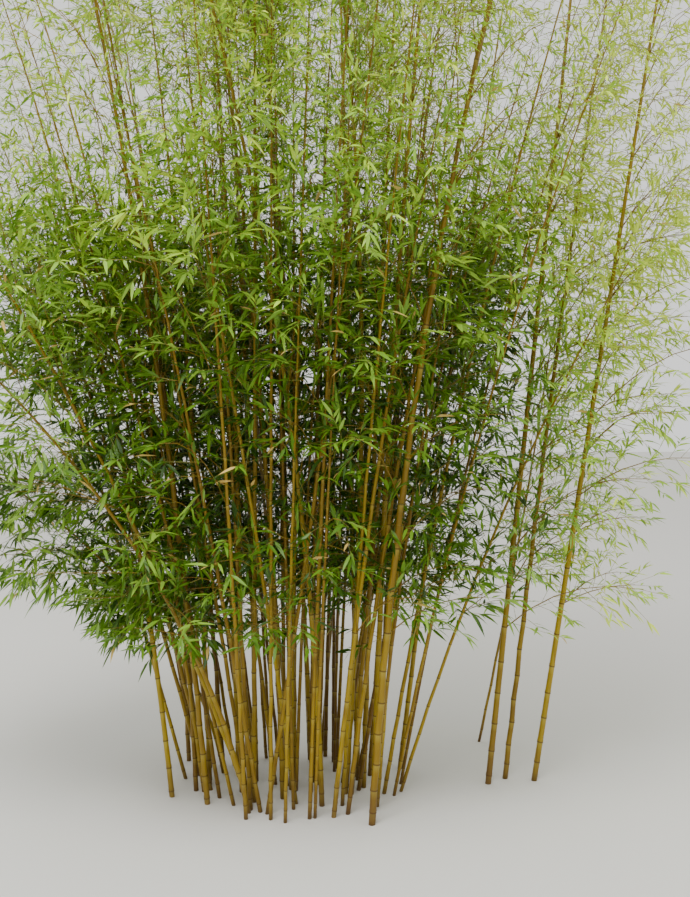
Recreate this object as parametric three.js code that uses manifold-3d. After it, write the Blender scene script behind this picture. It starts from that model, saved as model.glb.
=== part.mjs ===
// A clump of golden bamboo, rooted in the ground: culms that rise from one root and fan out,
// and masses of foliage, each on one long branch that leaves a culm at a joint.
// Millimetres, +Z up, +Y away from the viewer, origin at the foot of the main culm.
import * as THREE from 'three';
import { mergeVertices } from 'three/addons/utils/BufferGeometryUtils.js';
import Module from 'manifold-3d';

const wasm = await Module();
wasm.setup();

// The clump
const CLUMP_CENTRE = [-250, 90];
const CLUMP_HALF_WIDTH = 560;
const CLUMP_HALF_DEPTH = 430;
const INNER_CULMS = 15;
const INNER_SEED = 71;
const INNER_HEIGHT = [3900, 5300];
const INNER_GIRTH = [19, 26];
const INNER_SPREAD = [300, 1150];
const FRONT_SHARE = 0.85;
const FOOT_SPACING = 72;
const CULM_GAP = 5;

// A culm
const CULM_SIDES = 6;
const CULM_STEPS = 5;
const BEND_HEIGHT = 0.55;
const TAPER = 0.85;
const TAPER_POWER = 1.3;

// A mass of foliage: one branch, its side twigs and their leaves
const MASSES = 21;
const MASS_SEED = 28;
const JOINT_SPACING = 180;
const LOWEST_JOINT = 1080;
const HIGHEST_JOINT = 0.9;
const SITE_REACH = 200;
const SITE_RISE = 120;
const BRANCH_REACH = 420;
const BRANCH_RISE = 330;
const BRANCH_RADIUS = [10, 8];
const BRANCH_STEPS = 3;
const TWIGS = 7;
const LAST_TWIG = 0.96;
const TWIG_REACH = 360;
const TWIG_RADIUS = [5, 5];
const LEAF_PLACES = [0.35, 0.7, 0.98];
const LEAF_LENGTH = 360;
const LEAF_WIDTH = 100;
const LEAF_THICKNESS = 4.5;
const LEAF_WIDEST = 0.36;
const LEAF_SINK = 16;
const CULM_CLEARANCE = 0.35;
const SMALLEST_EDGE = 0.1;
const TWIG_CLEARANCE = 4;
const CELL_CLEARANCE = 3;
const LOWEST_LEAF = 620;
const GOLDEN_ANGLE = 2.39996;

// The culms that stand out, by their place in the clump: foot, slope at the foot, tip, thickness
const MARKED_CULMS = {
  centre: [
    { foot: [0, 0], slope: [0.08, 0], tip: [-280, 120, 5400], girth: 27 },
    { foot: [85, 70], slope: [0.03, 0.02], tip: [330, 260, 5250], girth: 24 },
    { foot: [60, 190], slope: [-0.02, 0.05], tip: [-60, 620, 5500], girth: 25 },
    { foot: [-160, 290], slope: [-0.05, 0.06], tip: [-560, 980, 5000], girth: 24 },
    { foot: [-400, -90], slope: [0.01, -0.05], tip: [-330, -760, 4700], girth: 22 },
    { foot: [-465, 20], slope: [0, -0.02], tip: [-700, -260, 4950], girth: 24 },
  ],
  front: [
    { foot: [111, -311], slope: [0.06, -0.03], tip: [1000, -820, 4900], girth: 29 },
    { foot: [12, -212], slope: [0.12, -0.02], tip: [780, -500, 4100], girth: 20 },
    { foot: [176, 0], slope: [0.17, -0.02], tip: [1130, -330, 4200], girth: 19 },
    { foot: [-100, -130], slope: [-0.03, -0.07], tip: [-800, -860, 4300], girth: 23 },
    { foot: [-330, -210], slope: [0.16, -0.08], tip: [210, -880, 4000], girth: 18 },
  ],
  right: [
    { foot: [662, 113], slope: [0.11, 0.02], tip: [1260, 300, 5300], girth: 28 },
    { foot: [752, 175], slope: [0.125, 0.05], tip: [1450, 560, 4500], girth: 25 },
    { foot: [883, 150], slope: [0.15, -0.02], tip: [1600, -60, 4900], girth: 27 },
    { foot: [709, 670], slope: [0.22, 0.03], tip: [1300, 1060, 3100], girth: 15 },
    { foot: [266, 295], slope: [0.13, 0.08], tip: [980, 960, 4600], girth: 24 },
  ],
  left: [
    { foot: [-770, -33], slope: [-0.11, 0.01], tip: [-1560, -120, 3700], girth: 24 },
    { foot: [-775, 399], slope: [-0.06, 0.07], tip: [-1380, 1050, 4600], girth: 22 },
    { foot: [-700, 300], slope: [-0.12, 0.01], tip: [-1720, 330, 4350], girth: 23 },
    { foot: [-600, -110], slope: [-0.08, -0.05], tip: [-1330, -500, 4900], girth: 25 },
    { foot: [-581, 240], slope: [-0.15, -0.08], tip: [-1860, -230, 1680], girth: 18 },
    { foot: [-410, -200], slope: [-0.18, -0.14], tip: [-1980, -420, 2350], girth: 21 },
    { foot: [-410, -130], slope: [-0.33, -0.1], tip: [-1900, -600, 3100], girth: 21 },
  ],
};

const vector = (x, y, z) => new THREE.Vector3(x, y, z);
const UP = vector(0, 0, 1);

// A linear congruential sequence: the same seed gives the same plant
function makeRandom(seed) {
  let state = seed;
  return (low = 0, high = 1) => {
    state = (state * 1664525 + 1013904223) % 4294967296;
    return low + (high - low) * (state / 4294967296);
  };
}

// Radius left at a share of the culm's length
const culmRadius = (culm, share) => 0.5 * culm.girth * (1 - TAPER * share ** TAPER_POWER);

// A culm rises along its slope and bends over to its tip
function makeCulm({ name, foot, slope, tip, girth }) {
  const rise = BEND_HEIGHT * tip[2];
  const bend = vector(foot[0] + slope[0] * rise, foot[1] + slope[1] * rise, rise);
  const line = new THREE.QuadraticBezierCurve3(vector(foot[0], foot[1], 0), bend, vector(...tip));
  const culm = { name, line, girth, height: tip[2], legs: [] };
  const points = line.getPoints(CULM_STEPS);
  for (let i = 0; i < CULM_STEPS; i += 1) {
    const leg = new THREE.Line3(points[i], points[i + 1]);
    culm.legs.push({ leg, radius: culmRadius(culm, i / CULM_STEPS) });
  }
  return culm;
}

// Least distance from a straight line to a culm's skin
function clearance(line, culm) {
  const gaps = culm.legs.map(({ leg, radius }) => Math.sqrt(leg.distanceSqToLine3(line)) - radius);
  return Math.min(...gaps);
}

const touches = (one, other) =>
  one.legs.some(({ leg, radius }) => clearance(leg, other) < CULM_GAP + radius);

// The rest of the clump is dealt out by rule: a culm that would touch a standing one is skipped
function innerCulms(standing) {
  const random = makeRandom(INNER_SEED);
  const culms = [];
  for (let i = 0; culms.length < INNER_CULMS; i += 1) {
    const turn = i * GOLDEN_ANGLE;
    const out = Math.sqrt(random());
    const foot = [
      CLUMP_CENTRE[0] + CLUMP_HALF_WIDTH * out * Math.cos(turn),
      CLUMP_CENTRE[1] + CLUMP_HALF_DEPTH * out * Math.sin(turn),
    ];
    const spread = random(...INNER_SPREAD) * (0.35 + 0.65 * out);
    const heading = turn + random(-0.5, 0.5);
    const height = random(...INNER_HEIGHT) - 0.35 * spread;
    const lean = [spread * Math.cos(heading), FRONT_SHARE * spread * Math.sin(heading)];
    const culm = makeCulm({
      name: `culm_inner_${culms.length + 1}`,
      foot,
      slope: [(0.35 * lean[0]) / height, (0.35 * lean[1]) / height],
      tip: [foot[0] + lean[0], foot[1] + lean[1], height],
      girth: random(...INNER_GIRTH),
    });
    const near = (other) => culm.line.v0.distanceTo(other.line.v0) < FOOT_SPACING || touches(culm, other);
    if (!standing.some(near) && !culms.some(near)) culms.push(culm);
  }
  return culms;
}

// A limb: a cylinder whose rings are set square to its line, the first one level on a culm
function limb(line, across, sides, steps, radiusAt, levelFoot = false) {
  const geometry = new THREE.CylinderGeometry(1, 1, 1, sides, steps);
  const position = geometry.attributes.position;
  for (let i = 0; i < position.count; i += 1) {
    const share = position.getY(i) + 0.5;
    const along = levelFoot && share === 0 ? UP : line.getTangent(share);
    const side = across.clone().addScaledVector(along, -across.dot(along)).normalize();
    const other = side.clone().cross(along);
    const place = line.getPoint(share);
    place.addScaledVector(side, radiusAt(share) * position.getX(i));
    place.addScaledVector(other, radiusAt(share) * position.getZ(i));
    position.setXYZ(i, place.x, place.y, place.z);
  }
  return geometry;
}

function culmGeometry(culm, grown = 0) {
  const radiusAt = (share) => culmRadius(culm, share) + grown;
  return limb(culm.line, vector(1, 0, 0), CULM_SIDES, CULM_STEPS, radiusAt, true);
}

function solidOf(geometry) {
  geometry.deleteAttribute('normal');
  geometry.deleteAttribute('uv');
  const merged = mergeVertices(geometry);
  const mesh = new wasm.Mesh({
    numProp: 3,
    vertProperties: merged.attributes.position.array,
    triVerts: new Uint32Array(merged.index.array),
  });
  return new wasm.Manifold(mesh);
}

function geometryOf(solid) {
  const mesh = solid.getMesh();
  const geometry = new THREE.BufferGeometry();
  geometry.setAttribute('position', new THREE.BufferAttribute(mesh.vertProperties, 3));
  geometry.setIndex(new THREE.BufferAttribute(mesh.triVerts, 1));
  geometry.computeVertexNormals();
  return geometry;
}

// Where a culm's line passes a height
function placeAt(culm, height) {
  let share = height / culm.height;
  for (let i = 0; i < 6; i += 1) {
    share += (height - culm.line.getPoint(share).z) / culm.line.getTangent(share).z / culm.line.getLength();
  }
  return culm.line.getPoint(share);
}

// Middle of the crown at a height: the mean of the culms that reach it
function crownMiddle(culms, height) {
  const reaching = culms.filter((culm) => culm.height > height);
  const sum = reaching.reduce((total, culm) => total.add(placeAt(culm, height)), vector(0, 0, 0));
  return sum.divideScalar(reaching.length);
}

// The masses start at joints that lie as far from one another as they can
function placeMasses(culms) {
  const joints = [];
  for (const culm of culms) {
    for (let height = LOWEST_JOINT; height < HIGHEST_JOINT * culm.height; height += JOINT_SPACING) {
      const place = placeAt(culm, height);
      const outward = place.clone().sub(crownMiddle(culms, height)).setZ(0).normalize();
      const site = place.clone().addScaledVector(outward, SITE_REACH).addScaledVector(UP, SITE_RISE);
      joints.push({ culm, place, outward, site });
    }
  }
  const highest = joints.reduce((one, other) => (other.site.z > one.site.z ? other : one));
  const masses = [highest];
  while (masses.length < MASSES) {
    const room = (joint) => Math.min(...masses.map((mass) => mass.site.distanceTo(joint.site)));
    masses.push(joints.reduce((one, other) => (room(other) > room(one) ? other : one)));
  }
  return masses.sort((one, other) => one.site.z - other.site.z);
}

// A mass keeps to the space that lies nearer to its own site than to any other
function staysInCell(points, mass, masses) {
  return points.every((point) => point.z > LOWEST_LEAF && masses.every((other) => {
    if (other === mass) return true;
    const width = mass.site.distanceTo(other.site);
    const beyond = point.distanceToSquared(other.site) - point.distanceToSquared(mass.site);
    return beyond / (2 * width) > CELL_CLEARANCE;
  }));
}

function staysClear(from, to, radius, culms) {
  const line = new THREE.Line3(from, to);
  return culms.every((culm) => clearance(line, culm) > radius + TWIG_CLEARANCE);
}

// A leaf: an eight-faced blade whose root runs back inside the twig
function leafBlade(root, along, twigHeading) {
  const across = UP.clone().cross(along).normalize();
  const upright = along.clone().cross(across);
  const geometry = new THREE.OctahedronGeometry(1);
  const position = geometry.attributes.position;
  for (let i = 0; i < position.count; i += 1) {
    const end = position.getX(i);
    const place = root.clone();
    if (end < -0.5) place.addScaledVector(twigHeading, -LEAF_SINK);
    else place.addScaledVector(along, end > 0.5 ? LEAF_LENGTH : LEAF_WIDEST * LEAF_LENGTH);
    place.addScaledVector(across, 0.5 * LEAF_WIDTH * position.getY(i));
    place.addScaledVector(upright, 0.5 * LEAF_THICKNESS * position.getZ(i));
    position.setXYZ(i, place.x, place.y, place.z);
  }
  return geometry;
}

// The long branch of a mass: out and up from the joint, its end drooping
function branchLine(mass, turn) {
  const heading = mass.outward.clone().applyAxisAngle(UP, turn);
  const bend = mass.place.clone().addScaledVector(heading, 0.45 * BRANCH_REACH).addScaledVector(UP, BRANCH_RISE);
  const end = mass.place.clone().addScaledVector(heading, BRANCH_REACH).addScaledVector(UP, 0.8 * BRANCH_RISE);
  return new THREE.QuadraticBezierCurve3(mass.place, bend, end);
}

// The branch takes the first heading that keeps it clear of the other culms, as long as it can be
function chooseBranch(mass, masses, culms) {
  const others = culms.filter((culm) => culm !== mass.culm);
  let best = { length: 0 };
  for (const turn of [0, 0.25, -0.25, 0.5, -0.5, 0.8, -0.8, 1.2, -1.2, 1.8, -1.8, 2.5, -2.5, 3.1]) {
    const line = branchLine(mass, turn);
    const points = line.getPoints(12);
    let length = 0;
    while (length < 12
      && staysInCell([points[length + 1]], mass, masses)
      && staysClear(points[length], points[length + 1], BRANCH_RADIUS[0], others)) length += 1;
    if (length > best.length) best = { length, line };
  }
  const share = best.length / 12;
  const end = best.line.getPoint(share);
  const bend = best.line.v0.clone().lerp(best.line.v1, share);
  return new THREE.QuadraticBezierCurve3(best.line.v0, bend, end);
}

const between = ([first, last]) => (share) => first + (last - first) * share;

// One mass: branch, twigs and leaves fused, and cut clear of the culm that carries it
function massGeometry(mass, masses, culms, random) {
  const branch = chooseBranch(mass, masses, culms);
  const level = branch.v2.clone().sub(branch.v0).setZ(0).normalize().cross(UP);
  const parts = [limb(branch, level, 3, BRANCH_STEPS, between(BRANCH_RADIUS))];
  const fits = (from, to, radius) =>
    staysInCell([from, to], mass, masses) && staysClear(from, to, radius, culms);
  for (let i = 1; i <= TWIGS; i += 1) {
    const share = LAST_TWIG * (i / TWIGS);
    const root = branch.getPoint(share);
    const along = branch.getTangent(share);
    const side = level.clone().applyAxisAngle(along, i * GOLDEN_ANGLE);
    const heading = i === TWIGS ? along : along.multiplyScalar(0.5).add(side).normalize();
    heading.z -= 0.15;
    heading.normalize();
    const reach = TWIG_REACH * (1.1 - 0.5 * share) * random(0.85, 1.15);
    const end = root.clone().addScaledVector(heading, reach);
    if (!fits(root, end, TWIG_RADIUS[0])) continue;
    const twig = new THREE.LineCurve3(root, end);
    const across = heading.clone().cross(UP).normalize().applyAxisAngle(heading, i);
    parts.push(limb(twig, across, 3, 1, between(TWIG_RADIUS)));
    LEAF_PLACES.forEach((place, leaf) => {
      const last = leaf === LEAF_PLACES.length - 1;
      const fan = last ? random(-0.2, 0.2) : (leaf % 2 ? 1 : -1) * random(0.6, 0.9);
      const leafHeading = heading.clone().applyAxisAngle(UP, fan);
      leafHeading.z -= random(0.25, 0.75);
      leafHeading.normalize();
      const leafRoot = twig.getPoint(place);
      const leafTip = leafRoot.clone().addScaledVector(leafHeading, LEAF_LENGTH);
      if (fits(leafRoot, leafTip, 0.5 * LEAF_WIDTH)) parts.push(leafBlade(leafRoot, leafHeading, heading));
    });
  }
  const fused = wasm.Manifold.union(parts.map(solidOf));
  const freed = fused.subtract(solidOf(culmGeometry(mass.culm, CULM_CLEARANCE)));
  const pieces = freed.decompose().sort((one, other) => other.volume() - one.volume());
  return geometryOf(pieces[0].simplify(SMALLEST_EDGE));
}

const culmMaterial = new THREE.MeshStandardMaterial({ color: 0xc39a35, roughness: 0.45, metalness: 0 });
const leafMaterial = new THREE.MeshStandardMaterial({ color: 0x5c8a2c, roughness: 0.6, metalness: 0 });

function namedMesh(name, geometry, material) {
  const mesh = new THREE.Mesh(geometry, material.clone());
  mesh.name = name;
  return mesh;
}

const markedCulms = Object.entries(MARKED_CULMS).flatMap(([place, rows]) =>
  rows.map((row, i) => makeCulm({ ...row, name: `culm_${place}_${i + 1}` })));
const culms = [...markedCulms, ...innerCulms(markedCulms)];
const masses = placeMasses(culms);
const random = makeRandom(MASS_SEED);

const plant = new THREE.Group();
plant.name = 'bamboo_clump';
for (const culm of culms) plant.add(namedMesh(culm.name, culmGeometry(culm), culmMaterial));
masses.forEach((mass, i) => {
  const geometry = massGeometry(mass, masses, culms, random);
  plant.add(namedMesh(`foliage_${i + 1}`, geometry, leafMaterial));
});

export default plant;
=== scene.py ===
"""Looks of a clump of golden bamboo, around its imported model.

Metres, +Z up, +Y away from the viewer, origin at the foot of the main culm.
"""

import bpy
import numpy as np
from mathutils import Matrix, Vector


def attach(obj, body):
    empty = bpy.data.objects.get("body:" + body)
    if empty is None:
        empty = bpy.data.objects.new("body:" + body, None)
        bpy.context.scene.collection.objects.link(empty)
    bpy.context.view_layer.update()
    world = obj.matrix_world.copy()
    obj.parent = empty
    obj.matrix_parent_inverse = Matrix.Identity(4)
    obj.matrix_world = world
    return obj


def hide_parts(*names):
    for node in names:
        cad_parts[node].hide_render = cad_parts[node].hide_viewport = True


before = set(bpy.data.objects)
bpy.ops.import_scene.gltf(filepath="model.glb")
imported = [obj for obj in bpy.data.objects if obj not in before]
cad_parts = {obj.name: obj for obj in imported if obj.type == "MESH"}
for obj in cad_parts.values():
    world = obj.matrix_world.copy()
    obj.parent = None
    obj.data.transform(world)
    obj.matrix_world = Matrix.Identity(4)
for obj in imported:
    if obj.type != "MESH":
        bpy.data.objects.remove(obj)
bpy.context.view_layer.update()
node_names = sorted(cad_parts)
foliage_nodes = [name for name in node_names if name.startswith("foliage")]

# Culm lines. Every culm of the clump rises from one root below the ground and bends over
# to its tip. The thick ones stand where the solids stand, and slender shoots that the
# solids leave out fill the space between them.
X, Y, Z = 0, 1, 2
UP = np.array([0.0, 0.0, 1.0])
GOLDEN_ANGLE = 2.39996
BEND_HEIGHT = 0.55
CULM_TAPER = 0.85
TAPER_POWER = 1.3
SOLID_RINGS = 6
RING_CORNERS = 7
CLUMP_CENTRE = np.array([-0.25, 0.09])
CLUMP_HALF_SIZE = np.array([0.52, 0.4])
SLENDER_CULMS = 54
SLENDER_SEED = 5
SLENDER_HEIGHT = (2.6, 4.2)
SLENDER_GIRTH = (0.014, 0.021)
SLENDER_SPREAD = (0.3, 1.3)
MIDDLE_SPREAD = 0.35
HEADING_SCATTER = 0.5
FLATTENED = 0.85
SLENDER_SLOPE = 0.68
LEFT_LEAN = 1.4
LEFT_SLOPE = 0.85
LEFT_LIMIT = (-1.85, -1.0)
LEFT_ARCHING = -0.45
LEFT_HEIGHT = 3.4
CULM_GAP = 0.004
GAP_LEVELS = 30


def unit(rows):
    """Each row divided by its length."""
    return rows / np.maximum(np.linalg.norm(rows, axis=-1, keepdims=True), 1e-9)


def on_curve(line, share):
    """Point at share t of a curve from foot by bend to tip.

    It is (1-t)(1-t) foot + 2t(1-t) bend + tt tip.
    """
    t = np.asarray(share)[..., None]
    foot, bend, tip = line[..., 0, :], line[..., 1, :], line[..., 2, :]
    return (1 - t) ** 2 * foot + 2 * t * (1 - t) * bend + t**2 * tip


def curve_heading(line, share):
    """Unit direction of that curve: (1-t)(bend - foot) + t(tip - bend), made one long."""
    t = np.asarray(share)[..., None]
    foot, bend, tip = line[..., 0, :], line[..., 1, :], line[..., 2, :]
    return unit((1 - t) * (bend - foot) + t * (tip - bend))


def share_at(height_share):
    """Share t of a culm at a share of its height, from (1-2b) tt + 2b t = height share."""
    square = 1 - 2 * BEND_HEIGHT
    root = np.sqrt(BEND_HEIGHT**2 + square * np.asarray(height_share))
    return (root - BEND_HEIGHT) / square


def solid_line(node):
    """Foot, bend and tip of a solid culm, and its girth.

    Its rings lie at even shares of the curve, so the bend follows from the sum of their
    middles, less what the foot and the tip give to it.
    """
    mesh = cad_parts[node].data
    found = np.empty(len(mesh.vertices) * 3, np.float32)
    mesh.vertices.foreach_get("co", found)
    corners = np.unique(np.round(found.reshape(-1, 3).astype(float), 5), axis=0)
    order = np.argsort(corners[:, Z])
    lowest, highest = corners[order[:RING_CORNERS]], corners[order[-RING_CORNERS:]]
    foot, tip = lowest.mean(0), highest.mean(0)
    t = np.linspace(0, 1, SOLID_RINGS)
    middles = (corners.sum(0) - foot - tip) / SOLID_RINGS
    bend = middles - ((1 - t) ** 2).sum() * foot - (t**2).sum() * tip
    bend /= (2 * t * (1 - t)).sum()
    girth = 2 * np.linalg.norm(lowest - foot, axis=1).max()
    return np.stack([foot, bend, tip]), girth


def stands_clear(line, girth, others, other_girths):
    """Whether a culm keeps its gap to all others at even levels up to its tip."""
    levels = np.linspace(0, line[2, Z], GAP_LEVELS)
    own = on_curve(line, share_at(levels / line[2, Z]))
    height_share = levels[None, :] / others[:, 2, Z][:, None]
    share = share_at(np.minimum(height_share, 1))
    apart = np.linalg.norm(on_curve(others[:, None], share) - own, axis=-1)
    room = CULM_GAP + 0.5 * (girth + other_girths[:, None])
    return bool(((apart > room) | (height_share > 1)).all())


def slender_lines(others, other_girths):
    """More culms by the solids' rule: feet on a golden-angle spiral, each leaning out.

    A lean to the left is longer, and one that arches far over keeps a low tip.
    """
    rng = np.random.default_rng(SLENDER_SEED)
    turn_count, made = 0, 0
    while made < SLENDER_CULMS:
        turn_count += 1
        turn, out = turn_count * GOLDEN_ANGLE, np.sqrt(rng.random())
        side = np.array([np.cos(turn), np.sin(turn)])
        foot = CLUMP_CENTRE + CLUMP_HALF_SIZE * out * side
        spread = rng.uniform(*SLENDER_SPREAD) * (MIDDLE_SPREAD + (1 - MIDDLE_SPREAD) * out)
        heading = turn + rng.uniform(-HEADING_SCATTER, HEADING_SCATTER)
        height = rng.uniform(*SLENDER_HEIGHT)
        lean = spread * np.array([np.cos(heading), FLATTENED * np.sin(heading)])
        if lean[X] < 0:
            lean[X] = max(LEFT_LEAN * lean[X], rng.uniform(*LEFT_LIMIT) - foot[X])
        if lean[X] < LEFT_ARCHING:
            height = min(height, LEFT_HEIGHT)
        girth = rng.uniform(*SLENDER_GIRTH)
        slope = (LEFT_SLOPE if lean[X] < 0 else SLENDER_SLOPE) * lean / height
        bend = foot + slope * BEND_HEIGHT * height
        line = np.array([
            [*foot, 0.0],
            [*bend, BEND_HEIGHT * height],
            [*(foot + lean), height],
        ])
        if stands_clear(line, girth, others, other_girths):
            others = np.concatenate([others, line[None]])
            other_girths = np.append(other_girths, girth)
            made += 1
    return others[-SLENDER_CULMS:], other_girths[-SLENDER_CULMS:]


culm_nodes = [name for name in node_names if name.startswith("culm")]
inner_nodes = [name for name in culm_nodes if name.startswith("culm_inner")]
marked_nodes = [name for name in culm_nodes if name not in inner_nodes]
solid_culms = [solid_line(name) for name in marked_nodes + inner_nodes]
solid_lines = np.stack([line for line, girth in solid_culms])
solid_girths = np.array([girth for line, girth in solid_culms])
more_lines, more_girths = slender_lines(solid_lines, solid_girths)
culm_lines = np.concatenate([solid_lines, more_lines])
culm_girths = np.concatenate([solid_girths, more_girths])

# Culm skins. A culm is a round woody tube under a hard waxy golden skin, with a joint
# every 10 to 20 cm: a sheath scar, a groove and a ridge over it, and a band of pale bloom
# below. It zigzags a little, and has a shallow groove over each joint that bears branches.
CULM_SEED = 17
MARKED_SIDES = 12
INNER_SIDES = 8
CURVE_STEPS = 160
FIRST_JOINT = (0.02, 0.09)
LAST_JOINT_GAP = 0.05
FIRST_INTERNODE = 0.085
INTERNODE_GROWTH = 0.105
INTERNODE_RISE = 9
TIP_SHORTENING = 0.45
CULM_SCATTER = (0.88, 1.12)
JOINT_SCATTER = (0.92, 1.08)
JOINT_OFFSETS = np.array([-0.036, -0.011, -0.0028, 0.0, 0.0022, 0.0062, 0.017])
JOINT_SWELLING = np.array([0.0, 0.0, 0.02, 0.13, 0.01, 0.11, 0.01, 0.0])
JOINT_SCAR = np.array([0.0, 0.0, 0.15, 1.0, 0.85, 0.1, 0.0, 0.0])
JOINT_BLOOM = np.array([0.0, 0.55, 1.0, 0.2, 0.0, 0.25, 0.0, 0.0])
JOINT_GROOVE = np.array([0.0, 0.0, 0.0, 0.0, 0.2, 0.6, 1.0, 1.0])
FULL_JOINT_RADIUS = 0.011
SMALLEST_JOINT = 0.3
SHORTEST_STEP = 1e-5
ZIGZAG = 0.0022
STRAIGHT_FOOT = 0.2
GROOVE_DEPTH = 0.07
GROOVE_WIDTH = 0.45
LOWEST_BRANCH = 0.7
BRANCH_SIDE_SCATTER = 0.25
MARKED_TONE = 0.4
DEAD_PLACES = np.array([[-0.24, 0.1], [-0.1, 0.35]])
CULM_COLOURS = {
    "gold": (150, 123, 0),
    "deep gold": (112, 82, 0),
    "light culm": (168, 145, 2),
    "old and shaded culm": (96, 64, 4),
    "streak": (100, 66, 0),
    "upper culm": (126, 100, 4),
    "dead wood": (140, 118, 78),
    "dead grain": (98, 76, 44),
    "bloom": (190, 176, 76),
    "scar": (74, 46, 18),
    "dirt": (92, 64, 34),
}


def joints_along(length, rng):
    """Distances of the joints from the foot.

    An internode starts short, grows over the first nine, and shortens again by the
    square of its share of the culm's length.
    """
    scale = rng.uniform(*CULM_SCATTER)
    found, at = [], rng.uniform(*FIRST_JOINT)
    while at < length - LAST_JOINT_GAP:
        found.append(at)
        growth = min(len(found) / INTERNODE_RISE, 1)
        step = FIRST_INTERNODE + INTERNODE_GROWTH * growth
        step *= 1 - TIP_SHORTENING * (at / length) ** 2
        at += step * scale * rng.uniform(*JOINT_SCATTER)
    return np.array(found)


def ring_triangles(rings, sides):
    """Triangles between rings of equal sides, counted ring by ring, and the two end caps."""
    s, k = np.meshgrid(np.arange(rings - 1), np.arange(sides), indexing="ij")
    after = (k + 1) % sides
    a, b = s * sides + k, s * sides + after
    c, d = b + sides, a + sides
    walls = np.stack([np.stack([a, b, c], -1), np.stack([a, c, d], -1)], 2).reshape(-1, 3)
    k = np.arange(1, sides - 1)
    foot = np.stack([0 * k, k + 1, k], -1)
    tip = np.stack([0 * k, k, k + 1], -1) + (rings - 1) * sides
    return np.concatenate([walls, foot, tip])


def culm_skin(line, girth, sides, rng):
    """Corners and triangles of one culm, its masks, and its joints that bear branches.

    Each joint has seven rings round it and one half way to the next. A ring's radius is
    the tapered one, raised by the joint's swelling and lowered over the branch side.
    """
    shares = np.linspace(0, 1, CURVE_STEPS)
    points = on_curve(line, shares)
    run = np.append(0, np.cumsum(np.linalg.norm(np.diff(points, axis=0), axis=1)))
    joints = joints_along(run[-1], rng)
    joint_share = np.interp(joints, run, shares)
    joint_radius = 0.5 * girth * (1 - CULM_TAPER * joint_share**TAPER_POWER)
    small = np.clip(joint_radius / FULL_JOINT_RADIUS, SMALLEST_JOINT, 1)[:, None]
    nexts = np.append(joints[1:], run[-1])
    around = joints[:, None] + small * JOINT_OFFSETS
    half_way = 0.5 * (joints + nexts)[:, None]
    at = np.concatenate([around, half_way], 1).ravel()
    at = np.maximum.accumulate(np.clip(at, 0, run[-1]))
    keep = np.append(True, np.diff(at) > SHORTEST_STEP)

    count = len(joints)
    first_turn = rng.uniform(0, 2 * np.pi)
    scatter = rng.uniform(-BRANCH_SIDE_SCATTER, BRANCH_SIDE_SCATTER, count)
    turns = first_turn + np.pi * np.arange(count) + scatter
    bears = on_curve(line, joint_share)[:, Z] > LOWEST_BRANCH
    groove = np.repeat(bears, len(JOINT_GROOVE)) * np.tile(JOINT_GROOVE, count)
    groove_turn = np.repeat(turns, len(JOINT_GROOVE))
    at = np.concatenate([[0], at[keep], [run[-1]]])
    groove = np.concatenate([[0], groove[keep], [0]])
    groove_turn = np.concatenate([[first_turn], groove_turn[keep], [0]])
    swelling, scar, bloom = [
        np.concatenate([[0], np.tile(values, count)[keep], [0]])
        for values in (JOINT_SWELLING, JOINT_SCAR, JOINT_BLOOM)
    ]

    share = np.interp(at, run, shares)
    from_side_to_side = 1 - 2 * (np.arange(count) % 2)
    sway = np.interp(at, joints, ZIGZAG * small[:, 0] * from_side_to_side)
    sway *= np.clip(at / STRAIGHT_FOOT, 0, 1)
    along = curve_heading(line, share)
    along[0] = UP
    middle = on_curve(line, share)
    middle = middle + sway[:, None] * np.array([np.cos(first_turn), np.sin(first_turn), 0])
    middle[0] = line[0]
    side = unit(np.array([1.0, 0, 0]) - along * along[:, :1])
    other = np.cross(along, side)
    angle = 2 * np.pi * np.arange(sides) / sides
    off_groove = np.angle(np.exp(1j * (angle[None] - groove_turn[:, None])))
    dent = 1 - GROOVE_DEPTH * groove[:, None] * np.exp(-((off_groove / GROOVE_WIDTH) ** 2))
    radius = 0.5 * girth * (1 - CULM_TAPER * share**TAPER_POWER) * (1 + swelling)
    radius = radius[:, None] * dent
    cos, sin = np.cos(angle)[None, :, None], np.sin(angle)[None, :, None]
    corners = middle[:, None] + radius[..., None] * (cos * side[:, None] + sin * other[:, None])
    corners[..., Z] = np.maximum(corners[..., Z], 0)
    masks = {"scar": scar, "bloom": bloom, "share": share}
    masks = {name: np.repeat(values, sides) for name, values in masks.items()}
    bearing = {
        "place": on_curve(line, joint_share)[bears],
        "turn": turns[bears],
        "radius": joint_radius[bears],
        "share": joint_share[bears],
    }
    return corners.reshape(-1, 3), ring_triangles(len(at), sides), masks, bearing


def gather(parts):
    """Joins lists of corners, triangles and masks into one set, with the counts shifted."""
    shift, corners, triangles = 0, [], []
    for part in parts:
        corners.append(part[0])
        triangles.append(part[1] + shift)
        shift += len(part[0])
    masks = {name: np.concatenate([part[2][name] for part in parts]) for name in parts[0][2]}
    return np.concatenate(corners), np.concatenate(triangles), masks


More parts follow.
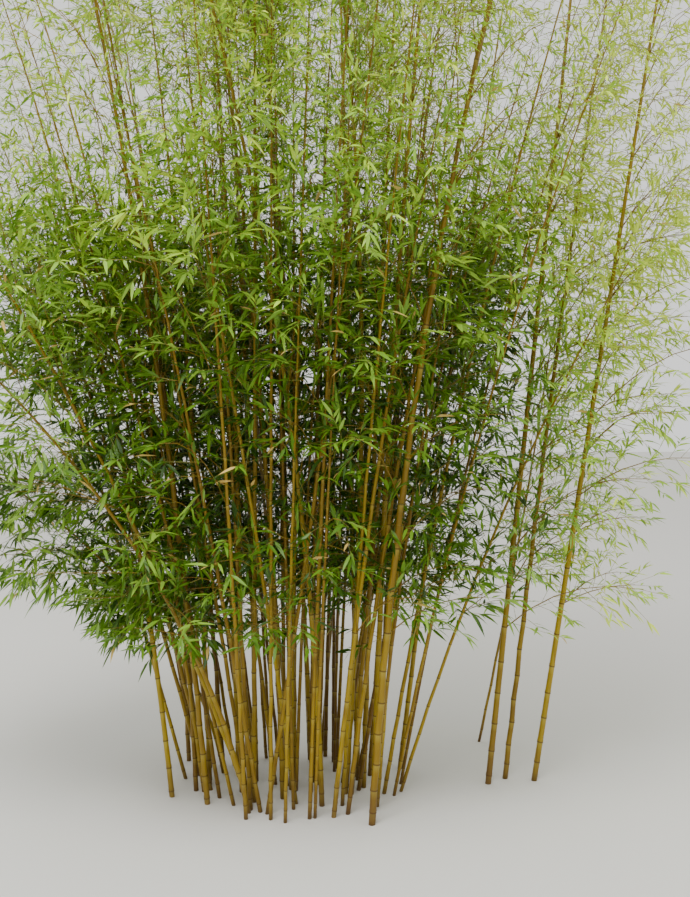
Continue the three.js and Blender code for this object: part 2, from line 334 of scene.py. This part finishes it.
def new_piece(name, corners, triangles, masks, material, slot, replaced):
    """A mesh object from arrays, shaded smooth, that rides on the plant's one body."""
    mesh = bpy.data.meshes.new(name)
    mesh.vertices.add(len(corners))
    mesh.vertices.foreach_set("co", corners.astype(np.float32).ravel())
    mesh.loops.add(triangles.size)
    mesh.loops.foreach_set("vertex_index", triangles.astype(np.int32).ravel())
    mesh.polygons.add(len(triangles))
    mesh.polygons.foreach_set("loop_start", np.arange(0, triangles.size, 3, dtype=np.int32))
    mesh.polygons.foreach_set("use_smooth", np.ones(len(triangles), bool))
    mesh.update(calc_edges=True)
    for mask, values in masks.items():
        layer = mesh.attributes.new(mask, "FLOAT", "POINT")
        layer.data.foreach_set("value", values.astype(np.float32))
    mesh.materials.append(material)
    piece = bpy.data.objects.new(name, mesh)
    bpy.context.scene.collection.objects.link(piece)
    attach(piece, "root")
    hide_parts(*replaced)


def paint(red, green, blue):
    """A colour given as a screen shows it, 0 to 255, turned into linear light."""
    value = np.array([red, green, blue]) / 255
    linear = np.where(value <= 0.04045, value / 12.92, ((value + 0.055) / 1.055) ** 2.4)
    return (*[float(x) for x in linear], 1.0)


class Wire:
    """A shader socket whose sums and products add their own Math nodes."""

    def __init__(self, tree, socket):
        self.tree, self.socket = tree, socket

    def put(self, socket, value):
        """Links a wire to a socket, or sets a plain value there."""
        if isinstance(value, Wire):
            self.tree.links.new(value.socket, socket)
        else:
            socket.default_value = value

    def maths(self, operation, one, other, clamp=False):
        """A Math node on two values or wires."""
        node = self.tree.nodes.new("ShaderNodeMath")
        node.operation, node.use_clamp = operation, clamp
        for socket, value in zip(node.inputs, (one, other)):
            self.put(socket, value)
        return Wire(self.tree, node.outputs[0])

    def __add__(self, other):
        return self.maths("ADD", self, other)

    def __sub__(self, other):
        return self.maths("SUBTRACT", self, other)

    def __rsub__(self, other):
        return self.maths("SUBTRACT", other, self)

    def __mul__(self, other):
        return self.maths("MULTIPLY", self, other)

    __radd__, __rmul__ = __add__, __mul__

    def clamped(self):
        """The value kept between 0 and 1."""
        return self.maths("MULTIPLY", self, 1.0, clamp=True)

    def node(self, kind, settings, sockets, output=0):
        """Any node: its settings first, then the values or links of its sockets."""
        node = self.tree.nodes.new(kind)
        for name, value in settings.items():
            setattr(node, name, value)
        for name, value in sockets.items():
            self.put(node.inputs[name], value)
        return Wire(self.tree, node.outputs[output])

    def blend(self, one, other, mask):
        """Colour one where the mask is 0, and the other where it is 1."""
        return self.node(
            "ShaderNodeMix",
            {"data_type": "RGBA", "clamp_factor": True},
            {0: mask, 6: one, 7: other},
            output=2,
        )


def new_finish(name, roughness, coat=0.0, specular=0.5):
    """A material with one Principled shader, and a wire to build its pattern from."""
    material = bpy.data.materials.new(name)
    material.use_nodes = True
    tree = material.node_tree
    shader = tree.nodes["Principled BSDF"]
    shader.inputs["Roughness"].default_value = roughness
    shader.inputs["Coat Weight"].default_value = coat
    shader.inputs["Specular IOR Level"].default_value = specular
    place = tree.nodes.new("ShaderNodeTexCoord").outputs["Object"]
    return material, shader, Wire(tree, place)


def noise(place, scale, detail, at=None):
    """Soft noise from 0 to 1, at the object's own coordinates unless told another place."""
    sockets = {"Vector": at or place, "Scale": scale, "Detail": detail}
    return place.node("ShaderNodeTexNoise", {}, sockets)


def culm_finish():
    """Golden skin, painted in layers, each a colour laid where its mask is 1.

    Patches of deeper gold and a tone for each culm come first, then streaks along the culm, an
    olive tinge upwards, dead wood, bloom and scars at the joints, and dirt. The tone is random,
    but the marked culms keep its upper range. So its light colour is partly painted light on
    the marked culms, and its old, dark colour is partly painted shade on the inner and slender
    ones. A mask is 0 up to the number that is taken off, and rises by the one it is multiplied
    by.
    """
    material, shader, place = new_finish("culm_skin", 0.4, coat=0.05, specular=0.3)
    colours = {name: paint(*values) for name, values in CULM_COLOURS.items()}
    drawn_out = {"Vector": place, "Scale": (90, 90, 3.5)}
    grain = noise(place, 1.0, 4.0, at=place.node("ShaderNodeMapping", {}, drawn_out))
    patches = noise(place, 2.6, 3.0)
    scar, bloom, share, tone, dead = [
        place.node("ShaderNodeAttribute", {"attribute_name": name}, {}, output=2)
        for name in ("scar", "bloom", "share", "tone", "dead")
    ]
    height = place.node("ShaderNodeSeparateXYZ", {}, {"Vector": place}, output=2)
    dirt = (1.0 - height * 5.0).clamped() * (patches + 0.25)
    skin = place.blend(colours["gold"], colours["deep gold"], (patches - 0.32) * 2.6)
    dead_wood = place.blend(colours["dead wood"], colours["dead grain"], (grain - 0.4) * 2.5)
    layers = (
        # Light culm is partly painted light, most often on the marked culms. The old, dark
        # colour is partly painted shade, almost only on the inner and slender culms.
        (colours["light culm"], (tone - 0.45) * 1.4),
        (colours["old and shaded culm"], (0.42 - tone) * 1.7),
        (colours["streak"], ((grain - 0.52) * 4.0).clamped() * 0.7),
        (colours["upper culm"], (share * 1.5 - 0.25).clamped() * 0.75),
        (dead_wood, dead),
        (colours["bloom"], bloom * 0.45),
        (colours["scar"], scar * 0.85),
        (colours["dirt"], dirt),
    )
    for colour, mask in layers:
        skin = place.blend(skin, colour, mask)
    worn = grain * 0.35 + scar * 0.3 + dirt * 0.3 + 0.2
    relief = {"Strength": 0.25, "Distance": 0.0012, "Height": grain}
    tree = material.node_tree
    tree.links.new(skin.socket, shader.inputs["Base Color"])
    tree.links.new(worn.socket, shader.inputs["Roughness"])
    tree.links.new(place.node("ShaderNodeBump", {}, relief).socket, shader.inputs["Normal"])
    return material


culm_rng = np.random.default_rng(CULM_SEED)
skin_of_culms = culm_finish()
from_dead = np.linalg.norm(more_lines[:, None, 0, :2] - DEAD_PLACES, axis=-1)
dead_culms = len(solid_lines) + from_dead.argmin(0)
skins, culm_joints = [], []
for index, (line, girth) in enumerate(zip(culm_lines, culm_girths)):
    is_marked = index < len(marked_nodes)
    sides = MARKED_SIDES if is_marked else INNER_SIDES
    corners, triangles, masks, bearing = culm_skin(line, girth, sides, culm_rng)
    tone = culm_rng.random()
    # The marked culms keep a tone in the upper range: painted light on them, and painted shade
    # on the inner and slender culms, which alone take the darkest tones.
    if is_marked:
        tone = MARKED_TONE + (1 - MARKED_TONE) * tone
    is_dead = index in dead_culms
    masks["tone"] = np.full(len(corners), tone)
    masks["dead"] = np.full(len(corners), float(is_dead))
    skins.append((corners, triangles, masks))
    bearing["slender"] = np.full(len(bearing["turn"]), index >= len(solid_lines))
    if not is_dead:
        culm_joints.append(bearing)
marked, inner = skins[:len(marked_nodes)], skins[len(marked_nodes):]
slender, inner = inner[len(inner_nodes):], inner[:len(inner_nodes)]
new_piece("culms_marked", *gather(marked), skin_of_culms, "culms", marked_nodes)
new_piece("culms_inner", *gather(inner), skin_of_culms, "culms", inner_nodes)
new_piece("culms_slender", *gather(slender), skin_of_culms, "culms", inner_nodes)

# Branches. Above knee height each joint bears two thin woody branches on alternate sides,
# the second one shorter. A branch rises from its culm and levels off at its end, and the
# ones that point into the clump stay short. The crown is open where the zones below say.
BRANCH_SEED = 41
BRANCH_STEPS = 5
BRANCH_BEND = 0.45
BRANCH_RISE = 1.0
RISE_SCATTER = (0.5, 1.3)
END_RISE = 0.9
BRANCH_TURN = 0.55
TURN_SCATTER = (0.3, 1)
FIRST_REACH = 0.56
SECOND_SHARE = 0.62
SLENDER_SHARE = 0.75
INWARD_SHARE = 0.6
REACH_SCATTER = (0.6, 1.15)
CROWDED_REACH = 0.85
FREE_REACH = 0.5
TOP_SHORTENING = 0.68
CROWDED_TOP_POWER = 1.5
FREE_TOP_POWER = 2.5
ELBOW_ROOM = 0.4
CROWD = (2, 16)
OUTWARD_PULL = 0.45
FREE_PULL = 2
HIGHEST_BRANCH = 5.42
CROWN_SIDES = np.array([[-2.1, -1.35], [2.14, 1.45]])
LEAVES_AHEAD = 0.3
FIRST_BONUS = 0.25
LOWEST_LEAFY = 0.74
LEFT_LOWERED = 0.08
LOWEST_SCATTER = (0.95, 1.15)
LOW_FLATTENED = 0.55
LEFT_FLATTENED = 0.6
RIGHT_SHORTENED = 0.22
RIGHT_FLATTENED = 0.35
SUNK_IN = 0.6
BRANCH_GIRTH = 0.38
BRANCH_RADIUS = (0.0014, 0.0036)
BRANCH_TAPER = 0.6
FULL_GIRTH_REACH = 0.35
SHORT_BRANCH_GIRTH = 0.6
LOW_ZONE = [(Z, 2.0, 0.8)]
LEFT_ZONE = [(X, -0.5, -0.85)]
LOW_RIGHT_ZONE = [(X, 0.7, 0.9), (Z, 2.8, 2.2)]
DENSE_ZONE = [(X, 0.3, 0.5), (X, 1.0, 0.8), (Y, -0.1, 0.1), (Z, 1.2, 1.5), (Z, 2.9, 2.4)]
DENSE_LONGER = 0.3
ABOVE_ZONE = [(Z, 3.3, 4.2)]
ABOVE_REFILLED = 0.6
OPEN_ZONES = {
    "high left": (0.7, [(X, -0.5, -1.0), (Z, 2.0, 2.7)]),
    "right": (0.2, [(X, 0.95, 1.2)]),
    "top": (0.26, [(Z, 2.6, 4.2)]),
    "high right": (0.64, [(X, 0.1, 0.5), (Z, 2.7, 3.3)]),
    "low right": (0.45, [(X, 0.6, 0.8), (Z, 2.0, 1.3)]),
}
BARE_TOP = (Z, 3.9, 3.5)
BARE_ZONES = {
    "front": (0.55, [(X, -0.95, -0.6), (X, 0.6, 0.3), (Y, 0.5, 0.1), (Z, 2.1, 1.3)]),
    "fan": (0.6, [(X, -0.5, -0.8), (Y, -0.35, -0.6), (Z, 2.3, 1.9)]),
    "before the centre culm": (
        0.5, [(X, -0.15, -0.05), (X, 0.25, 0.15), (Y, 0.0, -0.15), (Z, 1.6, 2.1), BARE_TOP]
    ),
    "before the right culm": (
        0.65, [(X, 0.55, 0.7), (X, 1.15, 1.0), (Y, 0.15, 0.0), (Z, 1.6, 2.0), BARE_TOP]
    ),
}


def crown_middle(heights):
    """Middle of the crown at each height: the mean place of the culms that reach it."""
    share = heights[:, None] / culm_lines[:, 2, Z][None]
    places = on_curve(culm_lines[None], share_at(np.minimum(share, 1)))
    reaching = (share < 1).astype(float)[..., None]
    return (places * reaching).sum(1) / np.maximum(reaching.sum(1), 1)


def crowding(places):
    """How many other culms stand within ELBOW_ROOM of each place, at its height."""
    share = places[:, Z:] / culm_lines[:, 2, Z][None]
    beside = on_curve(culm_lines[None], share_at(np.minimum(share, 1)))
    apart = np.linalg.norm((beside - places[:, None])[..., :2], axis=-1)
    return ((apart < ELBOW_ROOM) & (share < 1)).sum(1) - 1


def ramp(values, start, end):
    """Goes smoothly from 0 at start to 1 at end, as 3xx - 2xxx. It falls if end is lower."""
    x = np.clip((np.asarray(values) - start) / (end - start), 0, 1)
    return x * x * (3 - 2 * x)


def in_zone(places, edges):
    """How far each place lies in a zone: the product of the ramps over its edges.

    An edge is an axis, where the zone begins along it, and where the zone is full.
    """
    inside = np.ones(len(places))
    for axis, start, end in edges:
        inside = inside * ramp(places[:, axis], start, end)
    return inside


def fullness(places):
    """How much foliage each place has: 1, less the most that an open zone takes there.

    Above the open zones it fills again, and the bare zones then take their own share.
    """
    openness = [share * in_zone(places, edges) for share, edges in OPEN_ZONES.values()]
    thin = np.max(openness, axis=0) * (1 - ABOVE_REFILLED * in_zone(places, ABOVE_ZONE))
    full = 1 - thin
    for share, edges in BARE_ZONES.values():
        full = full * (1 - share * in_zone(places, edges))
    return full


def rod_skins(points, radii, sides=3):
    """Thin rods along rows of points, with rings square to each and closed ends."""
    along = unit(np.gradient(points, axis=1))
    side = unit(np.cross(along[:, :1], UP) + 1e-6)
    side = unit(side - along * (side * along).sum(-1, keepdims=True))
    other = np.cross(along, side)
    angle = 2 * np.pi * np.arange(sides) / sides
    cos, sin = np.cos(angle)[:, None], np.sin(angle)[:, None]
    around = cos * side[:, :, None] + sin * other[:, :, None]
    corners = points[:, :, None] + radii[:, :, None, None] * around
    rings = points.shape[1]
    first = np.arange(len(points)) * rings * sides
    triangles = ring_triangles(rings, sides)[None] + first[:, None, None]
    return corners.reshape(-1, 3), triangles.reshape(-1, 3)


branch_rng = np.random.default_rng(BRANCH_SEED)
joints = {name: np.concatenate([b[name] for b in culm_joints]) for name in culm_joints[0]}
joints = {name: np.repeat(values, 2, axis=0) for name, values in joints.items()}
place, count = joints["place"], len(joints["turn"])
is_second = np.arange(count) % 2 == 1
outward = unit((place - crown_middle(place[:, Z])) * [1, 1, 0])
free = 1 - ramp(crowding(place), *CROWD)

turn_side = np.where(is_second, -1, 1)
turn = joints["turn"] + turn_side * BRANCH_TURN * branch_rng.uniform(*TURN_SCATTER, count)
heading = np.stack([np.cos(turn), np.sin(turn), 0 * turn], 1)
heading = unit(heading + OUTWARD_PULL * (1 + FREE_PULL * free)[:, None] * outward)

outward_share = 0.5 + 0.5 * (heading * outward).sum(1)
top_power = CROWDED_TOP_POWER + FREE_TOP_POWER * free
reach = FIRST_REACH * np.where(is_second, SECOND_SHARE, 1.0)
reach = reach * (1 - TOP_SHORTENING * joints["share"] ** top_power)
reach = reach * (INWARD_SHARE + (1 - INWARD_SHARE) * outward_share)
reach = reach * np.where(joints["slender"], SLENDER_SHARE, 1.0)
reach = reach * (CROWDED_REACH + FREE_REACH * free) * branch_rng.uniform(*REACH_SCATTER, count)
nearest_side = np.where(heading[:, :2] > 0, CROWN_SIDES[1], CROWN_SIDES[0])
room = (nearest_side - place[:, :2]) / heading[:, :2]
reach = np.minimum(reach, room.min(1))

low, leftmost = in_zone(place, LOW_ZONE), in_zone(place, LEFT_ZONE)
low_right = in_zone(place, LOW_RIGHT_ZONE)
reach = reach * (1 - RIGHT_SHORTENED * low_right)
reach = reach * (1 + DENSE_LONGER * in_zone(place, DENSE_ZONE))
steepness = 1 - low * (LOW_FLATTENED + LEFT_FLATTENED * leftmost)
steepness = steepness * (1 - RIGHT_FLATTENED * low_right)
rise = BRANCH_RISE * reach * steepness * branch_rng.uniform(*RISE_SCATTER, count)
rise = np.minimum(rise, HIGHEST_BRANCH - place[:, Z])

full = fullness(place + LEAVES_AHEAD * outward)
grows = branch_rng.random(count) < np.where(is_second, full, full + FIRST_BONUS)
lowest = LOWEST_LEAFY - LEFT_LOWERED * leftmost
grows &= place[:, Z] > lowest * branch_rng.uniform(*LOWEST_SCATTER, count)
place, radius = place[grows], joints["radius"][grows]
heading, reach, rise = heading[grows], reach[grows], rise[grows]
full, free, leftmost = full[grows], free[grows], leftmost[grows]

start = place + heading * (SUNK_IN * radius)[:, None]
bend = start + heading * (BRANCH_BEND * reach)[:, None] + rise[:, None] * UP
end = start + heading * reach[:, None] + (END_RISE * rise)[:, None] * UP
branch_lines = np.stack([start, bend, end], 1)
steps = np.linspace(0, 1, BRANCH_STEPS + 1)
branch_points = on_curve(branch_lines[:, None], np.tile(steps, (len(reach), 1)))
thick = np.clip(BRANCH_GIRTH * radius, *BRANCH_RADIUS)
thick = thick * np.clip(reach / FULL_GIRTH_REACH, SHORT_BRANCH_GIRTH, 1)
branch_radii = thick[:, None] * (1 - BRANCH_TAPER * steps)[None]


def twig_finish(name, fresh, woody):
    """Thin bark: patches of a fresh and a woody colour."""
    material, shader, place = new_finish(name, 0.5)
    tint = place.blend(paint(*fresh), paint(*woody), (noise(place, 9.0, 2.0) - 0.35) * 2.5)
    material.node_tree.links.new(tint.socket, shader.inputs["Base Color"])
    return material


branch_bark = twig_finish("branch_bark", fresh=(150, 126, 16), woody=(122, 84, 12))
corners, triangles = rod_skins(branch_points, branch_radii)
new_piece("branches", corners, triangles, {}, branch_bark, "culms", foliage_nodes)

# Twigs. Side twigs leave a branch by the golden angle, shorter towards its end, and a last
# one carries it on. They are straight and thin as wire, green to yellow, and stand closer
# together low at the left and the back, behind the right-hand culms, and at the top.
TWIG_SEED = 29
MOST_TWIGS = 22
FEWEST_TWIGS = 3
TWIG_SPACING = (0.05, 0.024)
LAST_TWIG = 0.96
SPIN_SCATTER = 0.5
TWIG_FORWARD = 0.8
TWIG_DROP = 0.08
TWIG_REACH = 0.19
TWIG_SHORTENING = (1.1, 0.5)
TWIG_SCATTER = (0.7, 1.2)
USUAL_BRANCH = 0.4
TWIG_RADIUS = (0.0011, 0.0006)
FEWEST_SHARE = 0.35
FULL_SHARE = 0.75
BEHIND_ZONE = [(Y, 0.0, 0.4), (X, 1.0, 0.7)]
BUSHY_ZONE = [(Z, 2.9, 2.4)]
BUSHY_CLOSER = 0.36
DENSE_CLOSER = 0.45
TOP_ZONE = [(Z, 2.8, 3.6)]
TOP_CLOSER = 0.14

twig_rng = np.random.default_rng(TWIG_SEED)
spacing = TWIG_SPACING[0] + (TWIG_SPACING[1] - TWIG_SPACING[0]) * free
bushy = np.maximum(leftmost, in_zone(place, BEHIND_ZONE)) * in_zone(place, BUSHY_ZONE)
spacing = spacing * (1 - BUSHY_CLOSER * bushy) * (1 - TOP_CLOSER * in_zone(place, TOP_ZONE))
spacing = spacing * (1 - DENSE_CLOSER * in_zone(place, DENSE_ZONE))
twig_counts = np.clip(np.round(reach / spacing), FEWEST_TWIGS, MOST_TWIGS).astype(int)
number = np.tile(np.arange(1, MOST_TWIGS + 1), (len(reach), 1))
last = number == twig_counts[:, None]
thinned = twig_rng.random(number.shape) < (FEWEST_SHARE + FULL_SHARE * full)[:, None]
present = (number <= twig_counts[:, None]) & (thinned | last)
branch_of = np.nonzero(present)[0]
share = (LAST_TWIG * number / twig_counts[:, None])[present]
number, last = number[present], last[present]

carrier = branch_lines[branch_of]
root = on_curve(carrier, share)
along = curve_heading(carrier, share)
level = unit(np.cross(carrier[:, 2] - carrier[:, 0], UP))
upward = np.cross(along, level)
spin = number * GOLDEN_ANGLE + twig_rng.uniform(-SPIN_SCATTER, SPIN_SCATTER, len(number))
side = np.cos(spin)[:, None] * level + np.sin(spin)[:, None] * upward
twig_heading = np.where(last[:, None], along, unit(TWIG_FORWARD * along + side))
twig_heading = unit(twig_heading - TWIG_DROP * UP)
twig_reach = TWIG_REACH * (TWIG_SHORTENING[0] - TWIG_SHORTENING[1] * share)
twig_reach = twig_reach * np.sqrt(reach[branch_of] / USUAL_BRANCH)
twig_reach = twig_reach * twig_rng.uniform(*TWIG_SCATTER, len(share))
twig_end = root + twig_heading * twig_reach[:, None]
twig_lines = np.stack([root, 0.5 * (root + twig_end), twig_end], 1)
twig_points = twig_lines[:, [0, 2]]
twig_radii = np.tile(TWIG_RADIUS, (len(share), 1))
twig_bark = twig_finish("twig_bark", fresh=(138, 146, 58), woody=(150, 118, 44))
half = len(twig_points) // 2
for name, part in (("twigs_1", slice(0, half)), ("twigs_2", slice(half, None))):
    corners, triangles = rod_skins(twig_points[part], twig_radii[part])
    new_piece(name, corners, triangles, {}, twig_bark, "foliage", foliage_nodes)

# Leaves. A twig ends in a drooping fan of narrow pointed leaves on alternate sides, thin,
# smooth above and folded a little along the midrib. Their tints are painted light and shade: a
# deep green as painted shade inside the clump and low down, and lime as painted light where the
# crown is thin and the light comes through. Some random tone varies from spray to spray, and a
# few leaves are straw-coloured dead ones.
LEAF_SEED = 13
LEAF_PLACES = np.array([0.34, 0.52, 0.68, 0.82, 0.92, 0.98, 1.0])
EARLY_PLACES = 2
EARLY_SHARE = 0.8
THIN_SHARE = 0.6
SIDE_FAN = (0.4, 1.15)
END_FAN = 0.2
LEAF_FALL = (-0.35, 0.45)
LEAF_LENGTH = (0.054, 0.096)
LEAF_NARROWNESS = 0.165
WIDTH_SCATTER = (0.85, 1.2)
LEAF_ROLL = 0.8
LEAF_DROOP = (0.0, 0.24)
LEAF_FOLD = 0.35
LOWEST_LEAF = 0.6
HANGING = 0.9
SMALLER_OUTSIDE = 0.36
SMALL_RIGHT = 0.5
SMALL_RIGHT_ZONE = [(X, 0.8, 1.1)]
SMALL_HIGH_ZONE = [(Z, 2.1, 3.1)]
LARGER_ABOVE = 0.4
LARGER_ZONE = [(Z, 3.5, 4.0)]
PLAIN_ABOVE = 2.7
FULL_BLADE = {
    "stations": np.array([0.0, 0.3, 0.3, 0.3, 0.66, 0.66, 1.0]),
    "edges": np.array([0.0, 1.0, 0.0, -1.0, 0.72, -0.72, 0.0]),
    "triangles": np.array([[0, 2, 1], [0, 3, 2], [1, 2, 4], [2, 5, 4], [2, 3, 5], [4, 5, 6]]),
}
PLAIN_BLADE = {
    "stations": np.array([0.0, 0.38, 0.38, 0.38, 1.0]),
    "edges": np.array([0.0, 1.1, 0.0, -1.1, 0.0]),
    "triangles": np.array([[0, 2, 1], [0, 3, 2], [1, 2, 4], [2, 3, 4]]),
}
# The light of a spray is painted light and shade: it picks the tint of its leaves.
OUTER_LIGHT = 0.36
OUTER_EDGE = (0.2, 1.2)
LIGHT_ZONES = {
    "height": (0.88, [(Z, 1.2, 3.6)]),
    "skirt": (0.16, [(Z, 1.5, 0.9)]),
    "tips": (-0.3, [(Z, 3.6, 4.2)]),
    "right": (0.6, [(X, 0.8, 1.2)]),
    "dense": (-0.25, DENSE_ZONE),
}
SPRAY_SCATTER = 0.3
LEAF_SCATTER = 0.12
TINT_STEPS = [0.12, 0.34, 0.58, 0.84, 1.14]
STRAW_SHARE = 0.009
# From deep to pale the tints are steps of painted shade and painted light; straw is the colour
# of dead leaves.
TINTS = {
    "leaves_deep": ((50, 82, 12), 0.46),
    "leaves_dark": ((74, 110, 16), 0.44),
    "leaves_mid": ((104, 144, 30), 0.42),
    "leaves_fresh": ((136, 174, 58), 0.42),
    "leaves_lime": ((174, 210, 62), 0.44),
    "leaves_pale": ((206, 226, 84), 0.46),
    "leaves_straw": ((206, 176, 96), 0.6),
}
STRAW = len(TINTS) - 1


def turned(rows, angle):
    """Rows turned about the upright by an angle each."""
    x, y = rows[:, X], rows[:, Y]
    cos, sin = np.cos(angle), np.sin(angle)
    return np.stack([x * cos - y * sin, x * sin + y * cos, rows[:, Z]], 1)


def leaf_blades(blade, root, heading, length, width, roll, droop):
    """Corners and triangles of leaves that share one blade shape.

    A corner lies at its station along the leaf, less the droop by the station's square,
    and at its share of the half width to the side. The sides rise by the fold.
    """
    across = unit(np.cross(UP, heading))
    upright = np.cross(heading, across)
    cos, sin = np.cos(roll)[:, None], np.sin(roll)[:, None]
    across, upright = cos * across + sin * upright, cos * upright - sin * across
    t, edge = blade["stations"][None, :, None], blade["edges"][None, :, None]
    half_width = 0.5 * width[:, None, None]
    corners = root[:, None] + heading[:, None] * (length[:, None, None] * t)
    corners = corners - UP * (droop * length)[:, None, None] * t**2
    corners = corners + across[:, None] * (half_width * edge)
    corners = corners + upright[:, None] * (LEAF_FOLD * half_width * np.abs(edge))
    first = len(blade["stations"]) * np.arange(len(root))
    triangles = blade["triangles"][None] + first[:, None, None]
    return corners.reshape(-1, 3), triangles.reshape(-1, 3), {}


leaf_rng = np.random.default_rng(LEAF_SEED)
twig_end = twig_lines[:, 2]
spread = (len(twig_lines), len(LEAF_PLACES))
slot = np.tile(np.arange(spread[1]), (spread[0], 1))
is_early, is_last = slot < EARLY_PLACES, slot == spread[1] - 1
chance = THIN_SHARE + (1 - THIN_SHARE) * fullness(twig_end)
present = leaf_rng.random(spread) < chance[:, None]
present &= ~is_early | (leaf_rng.random(spread) < EARLY_SHARE)
end_fan = leaf_rng.uniform(-END_FAN, END_FAN, spread)
side_fan = (1 - 2 * (slot % 2)) * leaf_rng.uniform(*SIDE_FAN, spread)
fan = np.where(is_last, end_fan, side_fan)
fall = leaf_rng.uniform(*LEAF_FALL, spread)

twig_of = np.nonzero(present)[0]
leaf_root = on_curve(twig_lines[twig_of], np.tile(LEAF_PLACES, (spread[0], 1))[present])
leaf_heading = curve_heading(twig_lines[twig_of], np.ones(len(twig_of)))
leaf_heading = turned(leaf_heading, fan[present])
leaf_heading = unit(leaf_heading - fall[present][:, None] * UP)
on_right = SMALL_RIGHT * in_zone(leaf_root, SMALL_RIGHT_ZONE)
small = np.maximum(on_right, in_zone(leaf_root, SMALL_HIGH_ZONE))
small = small * (1 - LARGER_ABOVE * in_zone(leaf_root, LARGER_ZONE))
length = leaf_rng.uniform(*LEAF_LENGTH, len(twig_of)) * (1 - SMALLER_OUTSIDE * small)
width = LEAF_NARROWNESS * length * leaf_rng.uniform(*WIDTH_SCATTER, len(twig_of))
roll = leaf_rng.uniform(-LEAF_ROLL, LEAF_ROLL, len(twig_of))
droop = leaf_rng.uniform(*LEAF_DROOP, len(twig_of))

# Painted light and shade: a spray's light rises towards the edge of the crown, up the clump, in
# the skirt and to the right. It falls in the dense zone and at the very top, and random tone
# for each spray and each leaf comes on top.
from_middle = np.linalg.norm((twig_end - crown_middle(twig_end[:, Z])) * [1, 1, 0], axis=1)
light = OUTER_LIGHT * ramp(from_middle, *OUTER_EDGE)
for amount, edges in LIGHT_ZONES.values():
    light = light + amount * in_zone(twig_end, edges)
light = light + leaf_rng.uniform(-SPRAY_SCATTER, SPRAY_SCATTER, len(light))
light = light[twig_of] + leaf_rng.uniform(-LEAF_SCATTER, LEAF_SCATTER, len(twig_of))
tint_of = np.digitize(light, TINT_STEPS)
tint_of = np.where(leaf_rng.random(len(tint_of)) < STRAW_SHARE, STRAW, tint_of)
stays = leaf_root[:, Z] - HANGING * length > LOWEST_LEAF
is_plain = leaf_root[:, Z] > PLAIN_ABOVE
rows = (leaf_root, leaf_heading, length, width, roll, droop)
for index, (name, (colour, roughness)) in enumerate(TINTS.items()):
    blades = []
    for blade, is_blade in ((FULL_BLADE, ~is_plain), (PLAIN_BLADE, is_plain)):
        chosen = (tint_of == index) & stays & is_blade
        blades.append(leaf_blades(blade, *(values[chosen] for values in rows)))
    corners, triangles, masks = gather(blades)
    material, shader, _ = new_finish(name, roughness, specular=0.35)
    shader.inputs["Base Color"].default_value = paint(*colour)
    new_piece(name, corners, triangles, masks, material, "foliage", foliage_nodes)

# Studio. A pale floor out to the horizon, soft light from all round and from above in
# front, and the camera at the photograph's place, level at eye height.
FLOOR_HALF = 400
BACKDROP_STRENGTH = 1.2
KEY_PLACE = (-1.5, -4.0, 9.0)
KEY_AIM = (0, 0, 3.5)
KEY_SIZE = 4.0
KEY_POWER = 800
CAMERA_PLACE = (0.0, -3.774, 1.55)
FOCAL_PIXELS = 840
LONG_SIDE_PIXELS = 897
SENSOR = 36.0

floor_sides = np.array([(-1, -1, 0), (1, -1, 0), (1, 1, 0), (-1, 1, 0)])
floor_mesh = bpy.data.meshes.new("floor")
floor_mesh.from_pydata((FLOOR_HALF * floor_sides).tolist(), [], [(0, 1, 2, 3)])
floor_material, floor_shader, _ = new_finish("floor_paint", 0.9)
floor_shader.inputs["Base Color"].default_value = paint(222, 220, 214)
floor_mesh.materials.append(floor_material)
floor = bpy.data.objects.new("floor", floor_mesh)
bpy.context.scene.collection.objects.link(floor)

world = bpy.data.worlds.new("studio")
world.use_nodes = True
backdrop = world.node_tree.nodes["Background"]
backdrop.inputs["Color"].default_value = paint(250, 250, 248)
backdrop.inputs["Strength"].default_value = BACKDROP_STRENGTH
bpy.context.scene.world = world

key_data = bpy.data.lights.new("key", "AREA")
key_data.shape, key_data.size, key_data.energy = "SQUARE", KEY_SIZE, KEY_POWER
key = bpy.data.objects.new("key", key_data)
key.location = KEY_PLACE
key.rotation_euler = (Vector(KEY_AIM) - Vector(KEY_PLACE)).to_track_quat("-Z", "Y").to_euler()
bpy.context.scene.collection.objects.link(key)

camera = bpy.data.objects.new("camera", bpy.data.cameras.new("camera"))
camera.data.sensor_width = SENSOR
camera.data.lens = SENSOR * FOCAL_PIXELS / LONG_SIDE_PIXELS
camera.location = CAMERA_PLACE
camera.rotation_euler = (np.pi / 2, 0, 0)
bpy.context.scene.collection.objects.link(camera)
bpy.context.scene.camera = camera
